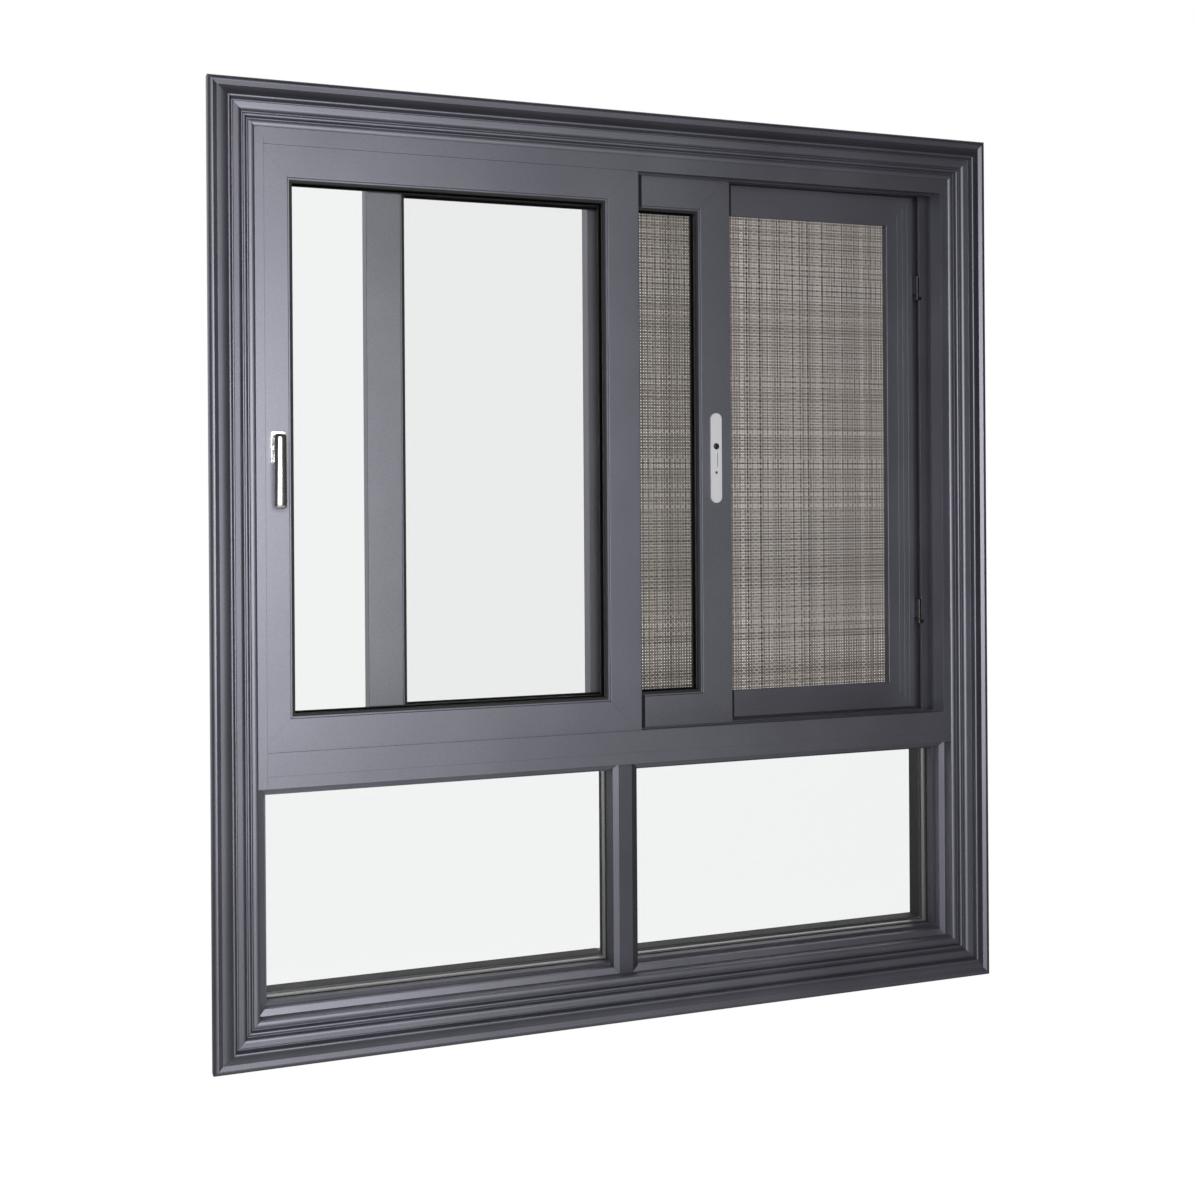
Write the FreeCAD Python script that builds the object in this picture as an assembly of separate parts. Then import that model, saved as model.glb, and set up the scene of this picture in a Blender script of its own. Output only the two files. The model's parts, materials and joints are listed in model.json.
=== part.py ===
import FreeCAD, Part
import os

# A three-track aluminium window over two fixed lights, with a moulded casing on the room side.
# X runs to the right, -Y towards the room and +Z up, in millimetres.
# The origin is on the back face of the bottom casing member, on the centre line,
# in the middle of the strip that lies flat against the wall.

# Overall size, outside the casing
overall_width = 1365.0
overall_height = 1500.0

# Casing: mitred moulding, its back flat on the wall at Y = 0
casing_width = 70.3
casing_proud = 22.0
casing_lap_on_wall = 45.0
casing_inner_flange = 8.3
casing_joint = 0.3

# The casing's mouldings, from its outer edge inwards: distances from that edge, and depths
# behind the bead's front, which is the casing's front plane; the ridge stands in front of it
bead_edge_depth = 6.0
bead_crest = 8.0
bead_end = 14.0
bead_end_depth = 3.2
rise_middle = 21.5
rise_middle_depth = 0.2
ridge_start = 28.0
ridge_start_proud = 5.0
ridge_crest = 30.3
ridge_proud = 6.2
ridge_end = 33.0
ridge_end_proud = 4.6
groove_bottom_half = 0.7
first_groove = 35.9
first_groove_depth = 3.2
fascia_start = 37.6
fascia_start_depth = 2.2
fascia_end = 45.0
fascia_end_depth = 2.8
fascia_roll = 48.8
fascia_roll_depth = 4.8
second_groove = 51.3
second_groove_depth = 9.4
small_bead_crest = 54.0
small_bead_depth = 8.2
small_bead_end = 57.6
small_bead_end_depth = 11.4
third_groove = 59.5
third_groove_depth = 14.8
inner_bead_start = 61.2
inner_bead_start_depth = 13.0
inner_bead_crest = 65.0
inner_bead_depth = 12.4
inner_edge_depth = 14.2

# Main frame, fitted in the wall behind the casing
frame_depth = 106.0
frame_web = 20.3
lip_proud = 6.0
fin_thickness = 2.5
inner_fin_thickness = 4.5
jamb_lip_reach = 39.5
jamb_fin_reach = 35.5
right_jamb_third_fin_reach = 40.0
head_lip_reach = 50.4
head_second_fin_reach = 48.2
head_third_fin_reach = 43.0

# Sliding tracks
track_pitch = 36.5
sash_thickness = 30.0
face_clearance = 0.3
run_clearance = 1.0
sill_fin_top_from_top = 1023.7
sill_web_top_from_top = 1040.0
sill_web_bottom_from_top = 1060.0
sill_second_fin_lower = 1.5
sill_third_fin_lower = 3.3
sill_rail_width = 6.0
sill_rail_below_fin = 1.3
sill_rail_sunk = 1.0

# Surround of the fixed lights: a bevelled rim that stands back from the frame's face
rim_beyond_casing = 0.7
rim_set_back = 19.0
bevel_width = 10.0
bevel_fall = 4.0
bevel_quirk = 1.2
light_bead_step = 5.0
light_groove = 12.0
light_flange_beyond_bead = 4.0
transom_face_below_sill = 18.5
mullion_face_width = 23.0
mullion_off_centre = -7.1
mullion_back_from_front = 107.0

# Glass sashes
sash_stile = 58.0
sash_bottom_rail = 58.0
sash_top_rail = 66.7
sash_width = 634.0
sash_lap_below_sill_fin = 4.7
sash_lift_gap = 14.7
middle_sash_left_from_left = 248.8
sash_edge_radius = 1.0
sash_ledge = 2.5
sash_ledge_drop = 4.0
glass_set_back = 8.0
glass_rebate = 12.0
roller_channel_width = 14.0
roller_channel_depth = 28.0
roller_radius = 11.0
roller_width = 7.0
axle_radius = 3.0
roller_inset = 110.0

# Glass units: two sheets held apart by a spacer bar
sheet_thickness = 5.0
sheet_gap = 9.0
spacer_width = 7.0
spacer_inside_edge = 2.0
glass_edge_cover = 10.0
gasket_show = 4.0
gasket_thickness = 3.0
rear_gasket_show = 6.0
rear_gasket_thickness = 2.0

# Screen leaf, hinged on the right jamb in the rear track
screen_left_from_left = 632.6
screen_stile = 55.0
screen_top_rail = 54.0
screen_bottom_rail = 47.0
screen_thickness = 26.0
screen_top_gap = 2.0
screen_bottom_gap = 4.0
screen_hinge_gap = 10.5
screen_front_lip = 8.5
screen_inner_recess = 2.5
screen_mesh_set_back = 18.5
screen_rebate = 12.0
screen_mesh_thickness = 1.0
screen_mesh_edge_gap = 1.0
screen_spline_width = 5.0
screen_groove_places = (12.0, 22.5, 33.0)
screen_groove_width = 1.5
screen_groove_depth = 0.7

# Hinges of the screen leaf
hinge_radius = 4.0
hinge_pin_radius = 2.6
hinge_long_knuckle = 33.0
hinge_knuckle_gap = 4.5
hinge_short_knuckle = 6.0
hinge_flap_thickness = 2.0
hinge_flap_reach = 22.0
hinge_flap_on_fin = 3.0
hinge_upper_from_top = 256.0
hinge_lower_from_top = 848.0

# Handle on the left sash
handle_from_left = 103.0
handle_from_top = 558.0
handle_base_width = 22.0
handle_base_height = 49.0
handle_base_thickness = 9.0
handle_base_corner = 4.0
lever_width = 19.0
lever_length = 113.0
lever_above_pivot = 20.0
lever_thickness = 9.0
lever_end_thickness = 6.0
lever_stand_off = 30.0
lever_neck_radius = 8.0
lever_bend = 8.0
lever_shoulder = 6.0
lever_edge_rounding = 2.0

# Lock plate on the right stile of the middle sash
lock_plate_width = 20.0
lock_plate_height = 154.0
lock_plate_thickness = 3.0
lock_plate_from_top = 570.0
lock_hole_radius = 5.5
lock_hole_below_top = 57.0
lock_small_hole_radius = 2.5
lock_small_hole_below_top = 102.0

# Fixed lights
light_glass_from_front = 75.0
light_bead_thickness = 17.5
light_gasket_show = 1.0
light_rear_gasket_thickness = 2.0
light_edge_gap = 1.0
light_glass_edge_gap = 2.0
light_spacer_width = 10.0

# Places that follow from the sizes above
left_x = -overall_width / 2
right_x = overall_width / 2
bottom_z = -casing_lap_on_wall / 2
top_z = bottom_z + overall_height
frame_left = left_x + casing_lap_on_wall
frame_right = right_x - casing_lap_on_wall
frame_top = top_z - casing_lap_on_wall
frame_bottom = bottom_z + casing_lap_on_wall
casing_edge = casing_width - casing_lap_on_wall
rim_wall = casing_edge + rim_beyond_casing
rim_y = -lip_proud + rim_set_back
bevel_reach = rim_wall + bevel_width
light_sight = bevel_reach + light_bead_step
light_flange_reach = light_sight + light_flange_beyond_bead
opening_left = frame_left + jamb_fin_reach
opening_right = frame_right - jamb_fin_reach
casing_front = -casing_proud
lip_back = -lip_proud + fin_thickness
sash_face = lip_back + face_clearance
sill_web_top = top_z - sill_web_top_from_top
sill_web_bottom = top_z - sill_web_bottom_from_top
sill_fin_top = top_z - sill_fin_top_from_top
transom_face_bottom = sill_web_bottom - transom_face_below_sill
unit_thickness = 2 * sheet_thickness + sheet_gap
mullion_x = mullion_off_centre
mullion_half = mullion_face_width / 2 + bevel_width
mullion_back = casing_front + mullion_back_from_front
light_glass_y = casing_front + light_glass_from_front
light_pocket_back = light_glass_y + unit_thickness + light_rear_gasket_thickness

# Half of the square root of two, for the middle of a quarter round
half_root_two = 0.70711

os.makedirs("parts", exist_ok=True)


def save(name, shape):
    shape.exportStep("parts/" + name + ".step")


def arc(middle, end):
    """A round stretch of an outline, through middle to end."""
    return {"middle": middle, "end": end}


def outline_wire(points, place):
    """Close an outline of (a, b) points and arcs, each placed by the function place."""
    edges = []
    start = place(*points[0])
    first = start
    for step in points[1:]:
        if isinstance(step, dict):
            end = place(*step["end"])
            edges.append(Part.Arc(start, place(*step["middle"]), end).toShape())
        else:
            end = place(*step)
            edges.append(Part.LineSegment(start, end).toShape())
        start = end
    if start.distanceToPoint(first) > 1e-6:
        edges.append(Part.LineSegment(start, first).toShape())
    return Part.Wire(edges)


def extrude(points, place, travel):
    return Part.Face(outline_wire(points, place)).extrude(travel)


def box(low, high):
    size = [high[i] - low[i] for i in range(3)]
    return Part.makeBox(size[0], size[1], size[2], FreeCAD.Vector(*low))


class Rectangle:
    """A frame's outer or inner edge seen from the room: left, right, bottom and top."""

    def __init__(self, left, right, bottom, top):
        self.left = left
        self.right = right
        self.bottom = bottom
        self.top = top

    def inset(self, sides, bottom=None, top=None):
        bottom = sides if bottom is None else bottom
        top = bottom if top is None else top
        return Rectangle(self.left + sides, self.right - sides, self.bottom + bottom, self.top - top)


def run_along(profile, side, rim):
    """A bar of one profile along one side of a rim; the profile's a is measured inwards."""
    if side == "left":
        return extrude(profile, lambda a, y: FreeCAD.Vector(rim.left + a, y, rim.bottom),
                       FreeCAD.Vector(0, 0, rim.top - rim.bottom))
    if side == "right":
        return extrude(profile, lambda a, y: FreeCAD.Vector(rim.right - a, y, rim.bottom),
                       FreeCAD.Vector(0, 0, rim.top - rim.bottom))
    if side == "top":
        return extrude(profile, lambda a, y: FreeCAD.Vector(rim.left, y, rim.top - a),
                       FreeCAD.Vector(rim.right - rim.left, 0, 0))
    return extrude(profile, lambda a, y: FreeCAD.Vector(rim.left, y, rim.bottom + a),
                   FreeCAD.Vector(rim.right - rim.left, 0, 0))


def mitre_prism(side, rim, inner, extra=0.0):
    """What a mitred bar may fill: a trapezium, and past its inner edge a straight piece."""
    corners = {
        "left": [(rim.left, rim.bottom), (rim.left, rim.top), (inner.left, inner.top),
                 (inner.left, inner.bottom)],
        "right": [(rim.right, rim.bottom), (rim.right, rim.top), (inner.right, inner.top),
                  (inner.right, inner.bottom)],
        "top": [(rim.left, rim.top), (rim.right, rim.top), (inner.right, inner.top),
                (inner.right, inner.top - extra), (inner.left, inner.top - extra),
                (inner.left, inner.top)],
        "bottom": [(rim.left, rim.bottom), (rim.right, rim.bottom), (inner.right, inner.bottom),
                   (inner.left, inner.bottom)],
    }[side]
    clean = [corner for i, corner in enumerate(corners) if corner != corners[i - 1]]
    reach = frame_depth + casing_proud
    return extrude(clean, lambda x, z: FreeCAD.Vector(x, -reach, z), FreeCAD.Vector(0, 2 * reach, 0))


def mitred_bar(profile, side, rim, inner, extra=0.0):
    return run_along(profile, side, rim).common(mitre_prism(side, rim, inner, extra))


def ring(rim, width, y_front, y_back):
    """A flat ring that lies inside a rim."""
    inner = rim.inset(width)
    outer_box = box((rim.left, y_front, rim.bottom), (rim.right, y_back, rim.top))
    return outer_box.cut(box((inner.left, y_front - 1, inner.bottom), (inner.right, y_back + 1, inner.top)))


def sheet(rim, y_front, thickness):
    return box((rim.left, y_front, rim.bottom), (rim.right, y_front + thickness, rim.top))


# Casing: bead, concave rise to the ridge, fascia, small bead and inner bead, from the edge inwards


def groove(middle, depth):
    """The two corners of a groove's flat bottom."""
    return [(middle - groove_bottom_half, casing_front + depth),
            (middle + groove_bottom_half, casing_front + depth)]


def casing_profile():
    front = casing_front
    back_step = -lip_proud - casing_joint
    flange_start = casing_width - casing_inner_flange
    k = 1 - half_root_two
    bead_shoulder = (bead_crest * k, front + bead_edge_depth * k)
    outer_mouldings = [
        (0.0, 0.0),
        (0.0, front + bead_edge_depth),
        arc(bead_shoulder, (bead_crest, front)),
        (bead_end, front + bead_end_depth),
        arc((rise_middle, front + rise_middle_depth), (ridge_start, front - ridge_start_proud)),
        arc((ridge_crest, front - ridge_proud), (ridge_end, front - ridge_end_proud)),
    ]
    inner_mouldings = [
        (fascia_start, front + fascia_start_depth),
        (fascia_end, front + fascia_end_depth),
        arc((fascia_roll, front + fascia_roll_depth),
            (second_groove - groove_bottom_half, front + second_groove_depth)),
        (second_groove + groove_bottom_half, front + second_groove_depth),
        arc((small_bead_crest, front + small_bead_depth), (small_bead_end, front + small_bead_end_depth)),
    ]
    inner_bead = [
        (inner_bead_start, front + inner_bead_start_depth),
        arc((inner_bead_crest, front + inner_bead_depth), (casing_width, front + inner_edge_depth)),
        (casing_width, back_step),
        (flange_start, back_step),
        (flange_start, -casing_joint),
        (casing_lap_on_wall, -casing_joint),
        (casing_lap_on_wall, 0.0),
    ]
    return outer_mouldings + groove(first_groove, first_groove_depth) + inner_mouldings + \
        groove(third_groove, third_groove_depth) + inner_bead


def make_casing():
    rim = Rectangle(left_x, right_x, bottom_z, top_z)
    inner = rim.inset(casing_width)
    profile = casing_profile()
    for name, side in (("head", "top"), ("bottom", "bottom"), ("left", "left"), ("right", "right")):
        save("casing_" + name, mitred_bar(profile, side, rim, inner))


# Track comb: a web with a front lip, two inner fins and a rear fin


def fin_ranges():
    """Front and back Y of the two fins between the tracks."""
    ranges = []
    for index in (1, 2):
        next_face = sash_face + index * track_pitch
        back = next_face - run_clearance
        ranges.append((back - inner_fin_thickness, back))
    return ranges


def comb_profile(web, lip, second, third, front_step):
    """Outline of a comb; a is 0 at the web's outer face, and each fin has its own reach."""
    points = [(0.0, 0.0), (front_step, 0.0)] if front_step > 0 else []
    points += [(front_step, -lip_proud), (lip, -lip_proud), (lip, lip_back), (web, lip_back)]
    for reach, (front, back) in zip((second, third), fin_ranges()):
        points += [(web, front), (reach, front), (reach, back), (web, back)]
    rear_front = frame_depth - inner_fin_thickness
    points += [(web, rear_front), (third, rear_front), (third, frame_depth), (0.0, frame_depth)]
    return points


def closed_jamb_profile(front_step):
    """The right jamb's upper part: the front track is closed with a flat reveal."""
    (_, second_back), (third_front, third_back) = fin_ranges()
    second_front = fin_ranges()[0][0]
    rear_front = frame_depth - inner_fin_thickness
    third = right_jamb_third_fin_reach
    return [(0.0, 0.0), (front_step, 0.0), (front_step, -lip_proud), (jamb_lip_reach, -lip_proud),
            (jamb_lip_reach, second_front), (jamb_fin_reach, second_front),
            (jamb_fin_reach, second_back), (frame_web, second_back), (frame_web, third_front),
            (third, third_front), (third, third_back), (frame_web, third_back),
            (frame_web, rear_front), (third, rear_front), (third, frame_depth), (0.0, frame_depth)]


def rim_front(face_end):
    """The rim's quirk and bevel, from the end of its flat face inwards."""
    return [(face_end, rim_y), (face_end, rim_y + bevel_quirk), (face_end + bevel_width, rim_y + bevel_fall)]


def light_side(reach, sight, rear_reach, back):
    """The side of a bar that faces a fixed light: a pocket for bead and glass, and the rear flange."""
    pocket_front = fin_ranges()[0][1]
    return [(reach, pocket_front), (sight - light_groove, pocket_front),
            (sight - light_groove, light_pocket_back), (rear_reach, light_pocket_back),
            (rear_reach, back)]


def light_bar_profile(front_step):
    """The lower frame's outline, with a bevelled rim round the fixed light."""
    return [(0.0, 0.0), (front_step, 0.0), (front_step, -lip_proud), (rim_wall, -lip_proud)] + \
        rim_front(rim_wall) + \
        light_side(bevel_reach, light_sight, light_flange_reach, frame_depth) + [(0.0, frame_depth)]


def make_frame():
    rim = Rectangle(frame_left, frame_right, frame_bottom, frame_top)
    inner = rim.inset(light_flange_reach)
    front_step = casing_edge - casing_inner_flange
    uppers = {
        "left": comb_profile(frame_web, jamb_lip_reach, jamb_fin_reach, jamb_fin_reach, front_step),
        "right": closed_jamb_profile(front_step),
    }
    lower = light_bar_profile(front_step)
    head = comb_profile(frame_web, head_lip_reach, head_second_fin_reach, head_third_fin_reach, front_step)
    upper_rim = Rectangle(frame_left, frame_right, transom_face_bottom, frame_top)
    lower_rim = Rectangle(frame_left, frame_right, frame_bottom, transom_face_bottom)
    jambs = []
    for side in ("left", "right"):
        bar = run_along(uppers[side], side, upper_rim).fuse(run_along(lower, side, lower_rim))
        bar = bar.common(mitre_prism(side, rim, inner))
        save("frame_" + side + "_jamb", bar)
        jambs.append(bar)
    head_bar = mitred_bar(head, "top", rim, rim.inset(jamb_fin_reach), head_lip_reach - jamb_fin_reach)
    save("frame_head", head_bar.cut(jambs))
    bottom_bar = mitred_bar(lower, "bottom", rim, inner)
    save("frame_bottom", bottom_bar)
    return jambs, bottom_bar


def track_centre(index):
    return sash_face + index * track_pitch + sash_thickness / 2


def make_sill(jambs):
    length = FreeCAD.Vector(opening_right - opening_left, 0, 0)
    web = sill_web_top - sill_web_bottom
    reach = sill_fin_top - sill_web_bottom
    profile = comb_profile(web, reach, reach - sill_second_fin_lower, reach - sill_third_fin_lower, 0.0)
    sill = extrude(profile, lambda a, y: FreeCAD.Vector(opening_left, y, sill_web_bottom + a), length)
    rail_top = sill_fin_top - sill_rail_below_fin
    for index in (0, 1):
        middle = track_centre(index)
        rail = box((opening_left, middle - sill_rail_width / 2, sill_web_top - sill_rail_sunk),
                   (opening_right, middle + sill_rail_width / 2, rail_top))
        sill = sill.fuse(rail)
    save("sill_track", sill.removeSplitter().cut(jambs))


def make_transom(jambs):
    """The bar under the sill; its ends run into the jambs, so that the bevels meet in a mitre."""
    start = frame_left + casing_edge
    length = FreeCAD.Vector(frame_right - casing_edge - start, 0, 0)
    reach = transom_face_below_sill + bevel_width
    sight = reach + light_bead_step
    profile = [(0.0, -lip_proud), (transom_face_below_sill, -lip_proud)] + \
        rim_front(transom_face_below_sill) + \
        light_side(reach, sight, sight + light_flange_beyond_bead, frame_depth) + [(0.0, frame_depth)]
    transom = extrude(profile, lambda a, y: FreeCAD.Vector(start, y, sill_web_bottom - a), length)
    transom = transom.cut(jambs)
    save("transom", transom)
    return transom


def make_mullion(transom, bottom_bar):
    """The post between the fixed lights, bevelled on both sides and coped into the bars it meets."""
    half = rim_front(mullion_face_width / 2) + \
        light_side(mullion_half, mullion_half, mullion_half, mullion_back)
    mirrored = [(-a, y) for a, y in reversed(half)]
    foot = frame_bottom + rim_wall
    post = extrude(half + mirrored, lambda a, y: FreeCAD.Vector(mullion_x + a, y, foot),
                   FreeCAD.Vector(0, 0, transom_face_bottom - foot))
    save("mullion", post.cut([transom, bottom_bar]))


# Glass sashes


def sash_profile(width):
    """Outline of a sash bar: a is 0 at the outer edge, b is 0 at the room face."""
    r = sash_edge_radius
    k = r * (1 - half_root_two)
    face = width - sash_ledge
    unit_back = glass_set_back + unit_thickness
    return [(0.0, r), arc((k, k), (r, 0.0)), (face - r, 0.0), arc((face - k, k), (face, r)),
            (face, sash_ledge_drop), (width, sash_ledge_drop), (width, glass_set_back),
            (width - glass_rebate, glass_set_back), (width - glass_rebate, unit_back),
            (width, unit_back), (width, sash_thickness), (0.0, sash_thickness)]


def moved(profile, y):
    """The same outline with its second coordinate moved by y."""
    out = []
    for step in profile:
        if isinstance(step, dict):
            out.append(arc((step["middle"][0], step["middle"][1] + y), (step["end"][0], step["end"][1] + y)))
        else:
            out.append((step[0], step[1] + y))
    return out


def make_glass_unit(name, sight, cover, y_front, spacer):
    """Two sheets and the spacer between them; sight is the opening that shows glass."""
    edge = sight.inset(-cover)
    front = sheet(edge, y_front, sheet_thickness)
    back_y = y_front + sheet_thickness + sheet_gap
    back = sheet(edge, back_y, sheet_thickness)
    save(name + "_glass", Part.makeCompound([front, back]))
    save(name + "_spacer", ring(edge.inset(spacer_inside_edge), spacer,
                                y_front + sheet_thickness, back_y))


def make_sash(name, left, track):
    y = sash_face + track * track_pitch
    rim = Rectangle(left, left + sash_width, sill_fin_top - sash_lap_below_sill_fin,
                    frame_top - frame_web - sash_lift_gap)
    sight = rim.inset(sash_stile, sash_bottom_rail, sash_top_rail)
    middle = y + sash_thickness / 2
    half = roller_channel_width / 2
    channel = box((rim.left - 1, middle - half, rim.bottom - 1),
                  (rim.right + 1, middle + half, rim.bottom + roller_channel_depth))
    for part, side, width in (("left_stile", "left", sash_stile), ("right_stile", "right", sash_stile),
                              ("top_rail", "top", sash_top_rail),
                              ("bottom_rail", "bottom", sash_bottom_rail)):
        bar = mitred_bar(moved(sash_profile(width), y), side, rim, sight)
        save(name + "_" + part, bar.cut(channel))
    glass_front = y + glass_set_back
    glass_back = glass_front + unit_thickness
    make_glass_unit(name, sight, glass_edge_cover, glass_front, spacer_width)
    front = ring(sight, gasket_show, glass_front - gasket_thickness, glass_front)
    rear = ring(sight, rear_gasket_show, glass_back, glass_back + rear_gasket_thickness)
    save(name + "_gasket", Part.makeCompound([front, rear]))
    make_rollers(name, rim, middle)
    return rim, y


def make_rollers(name, rim, y):
    rail_top = sill_fin_top - sill_rail_below_fin
    z = rail_top + face_clearance + roller_radius
    axle_length = roller_channel_width - 2 * face_clearance
    wheels = []
    for x in (rim.left + roller_inset, rim.right - roller_inset):
        along = FreeCAD.Vector(0, 1, 0)
        wheel = Part.makeCylinder(roller_radius, roller_width,
                                  FreeCAD.Vector(x, y - roller_width / 2, z), along)
        axle = Part.makeCylinder(axle_radius, axle_length,
                                 FreeCAD.Vector(x, y - axle_length / 2, z), along)
        wheels.append(wheel.fuse(axle))
    save(name + "_rollers", Part.makeCompound(wheels))


# Handle: a flat base and a lever that stands off on a neck and hangs down


def make_handle(face_y):
    x = left_x + handle_from_left
    z = top_z - handle_from_top
    half = handle_base_width / 2
    base = box((x - half, face_y - handle_base_thickness, z - handle_base_height / 2),
               (x + half, face_y, z + handle_base_height / 2))
    upright = [edge for edge in base.Edges if abs(edge.tangentAt(edge.FirstParameter).y) > 0.9]
    save("handle_base", base.makeFillet(handle_base_corner, upright))
    save("handle_lever", make_lever(x, z, face_y))


def make_lever(x, z, face_y):
    """The lever seen from its side: neck, rounded shoulder, grip and a thinner, rounded end."""
    back = face_y - handle_base_thickness - face_clearance
    front = face_y - lever_stand_off - lever_thickness
    inside = front + lever_thickness
    top = z + lever_above_pivot
    low = top - lever_length
    end_front = front + (lever_thickness - lever_end_thickness) / 2
    end_back = end_front + lever_end_thickness
    neck_top = z + lever_neck_radius
    neck_low = z - lever_neck_radius
    k = 1 - half_root_two
    side = [
        (back, neck_low),
        (back, neck_top),
        (inside + lever_bend, neck_top),
        arc((inside + lever_bend * k, neck_top + lever_bend * k), (inside, neck_top + lever_bend)),
        (inside, top),
        (front + lever_shoulder, top),
        arc((front + lever_shoulder * k, top - lever_shoulder * k), (front, top - lever_shoulder)),
        (end_front, low + lever_edge_rounding),
        arc((end_front + lever_edge_rounding * k, low + lever_edge_rounding * k),
            (end_front + lever_edge_rounding, low)),
        (end_back - lever_edge_rounding, low),
        arc((end_back - lever_edge_rounding * k, low + lever_edge_rounding * k),
            (end_back, low + lever_edge_rounding)),
        (inside, neck_low - lever_bend),
        arc((inside + lever_bend * k, neck_low - lever_bend * k), (inside + lever_bend, neck_low)),
    ]
    half = lever_width / 2
    lever = extrude(side, lambda y, up: FreeCAD.Vector(x - half, y, up), FreeCAD.Vector(lever_width, 0, 0))
    front_edges = [edge for edge in lever.Edges
                   if edge.BoundBox.YMax < inside - lever_edge_rounding and edge.BoundBox.ZLength > lever_bend]
    return lever.makeFillet(lever_edge_rounding, front_edges)


def make_lock_plate(rim, face_y):
    x = rim.right - sash_stile / 2
    z = top_z - lock_plate_from_top
    half = lock_plate_width / 2
    straight = lock_plate_height / 2 - half
    face = [
        (x - half, z - straight),
        (x - half, z + straight),
        arc((x, z + straight + half), (x + half, z + straight)),
        (x + half, z - straight),
        arc((x, z - straight - half), (x - half, z - straight)),
    ]
    plate = extrude(face, lambda a, up: FreeCAD.Vector(a, face_y, up),
                    FreeCAD.Vector(0, -lock_plate_thickness, 0))
    top = z + lock_plate_height / 2
    for below, radius in ((lock_hole_below_top, lock_hole_radius),
                          (lock_small_hole_below_top, lock_small_hole_radius)):
        hole = Part.makeCylinder(radius, lock_plate_thickness + 2,
                                 FreeCAD.Vector(x, face_y + 1, top - below), FreeCAD.Vector(0, -1, 0))
        plate = plate.cut(hole)
    save("lock_plate", plate)


# Screen leaf


def screen_profile(width, grooved=False):
    """Outline of a screen bar; its inner side is stepped, and the mesh lies in a rebate behind."""
    r = sash_edge_radius
    k = r * (1 - half_root_two)
    grooves = []
    for place in screen_groove_places if grooved else ():
        start = place - screen_groove_width / 2
        end = place + screen_groove_width / 2
        grooves += [(start, 0.0), (start, screen_groove_depth), (end, screen_groove_depth), (end, 0.0)]
    recess = width - screen_inner_recess
    return [(0.0, r), arc((k, k), (r, 0.0))] + grooves + \
        [(width - r, 0.0), arc((width - k, k), (width, r)), (width, screen_front_lip),
         (recess, screen_front_lip), (recess, screen_mesh_set_back),
         (width - screen_rebate, screen_mesh_set_back), (width - screen_rebate, screen_thickness),
         (0.0, screen_thickness)]


def make_screen():
    y = sash_face + 2 * track_pitch
    rim = Rectangle(left_x + screen_left_from_left,
                    frame_right - right_jamb_third_fin_reach - screen_hinge_gap,
                    sill_fin_top - sill_third_fin_lower + screen_bottom_gap,
                    frame_top - head_third_fin_reach - screen_top_gap)
    inner = rim.inset(screen_stile, screen_bottom_rail, screen_top_rail)
    stile = moved(screen_profile(screen_stile), y)
    hinge_stile = moved(screen_profile(screen_stile, True), y)
    top_rail = moved(screen_profile(screen_top_rail), y)
    bottom_rail = moved(screen_profile(screen_bottom_rail), y)
    save("screen_left_stile", mitred_bar(stile, "left", rim, inner))
    save("screen_right_stile", mitred_bar(hinge_stile, "right", rim, inner))
    save("screen_top_rail", mitred_bar(top_rail, "top", rim, inner))
    save("screen_bottom_rail", mitred_bar(bottom_rail, "bottom", rim, inner))
    mesh_rim = inner.inset(screen_mesh_edge_gap - screen_rebate)
    mesh_y = y + screen_mesh_set_back
    save("screen_mesh", sheet(mesh_rim, mesh_y, screen_mesh_thickness))
    spline_y = mesh_y + screen_mesh_thickness
    save("screen_spline", ring(mesh_rim, screen_spline_width, spline_y, spline_y + screen_spline_width))
    make_hinges(rim, y)


def make_hinges(rim, leaf_y):
    """Two hinges: knuckles in the gap, one flap on the leaf's edge, one on the jamb's third fin."""
    fin_front = fin_ranges()[1][0]
    barrel_x = rim.right + screen_hinge_gap / 2
    barrel_y = fin_front
    fin_tip = rim.right + screen_hinge_gap
    height = hinge_long_knuckle + hinge_knuckle_gap + hinge_short_knuckle
    for name, below in (("upper", hinge_upper_from_top), ("lower", hinge_lower_from_top)):
        low = top_z - below - height / 2
        long_low = low + hinge_short_knuckle + hinge_knuckle_gap
        short = Part.makeCylinder(hinge_radius, hinge_short_knuckle, FreeCAD.Vector(barrel_x, barrel_y, low))
        long = Part.makeCylinder(hinge_radius, hinge_long_knuckle,
                                 FreeCAD.Vector(barrel_x, barrel_y, long_low))
        pin = Part.makeCylinder(hinge_pin_radius, height, FreeCAD.Vector(barrel_x, barrel_y, low))
        leaf_flap = box((rim.right, barrel_y - hinge_radius, long_low),
                        (rim.right + hinge_flap_thickness, leaf_y + hinge_flap_reach, low + height))
        fin_flap = box((barrel_x, fin_front - hinge_flap_thickness, low),
                       (fin_tip + hinge_flap_on_fin, fin_front, low + hinge_short_knuckle))
        save("hinge_" + name, pin.fuse([short, long, leaf_flap, fin_flap]).removeSplitter())


# Fixed lights


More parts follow.
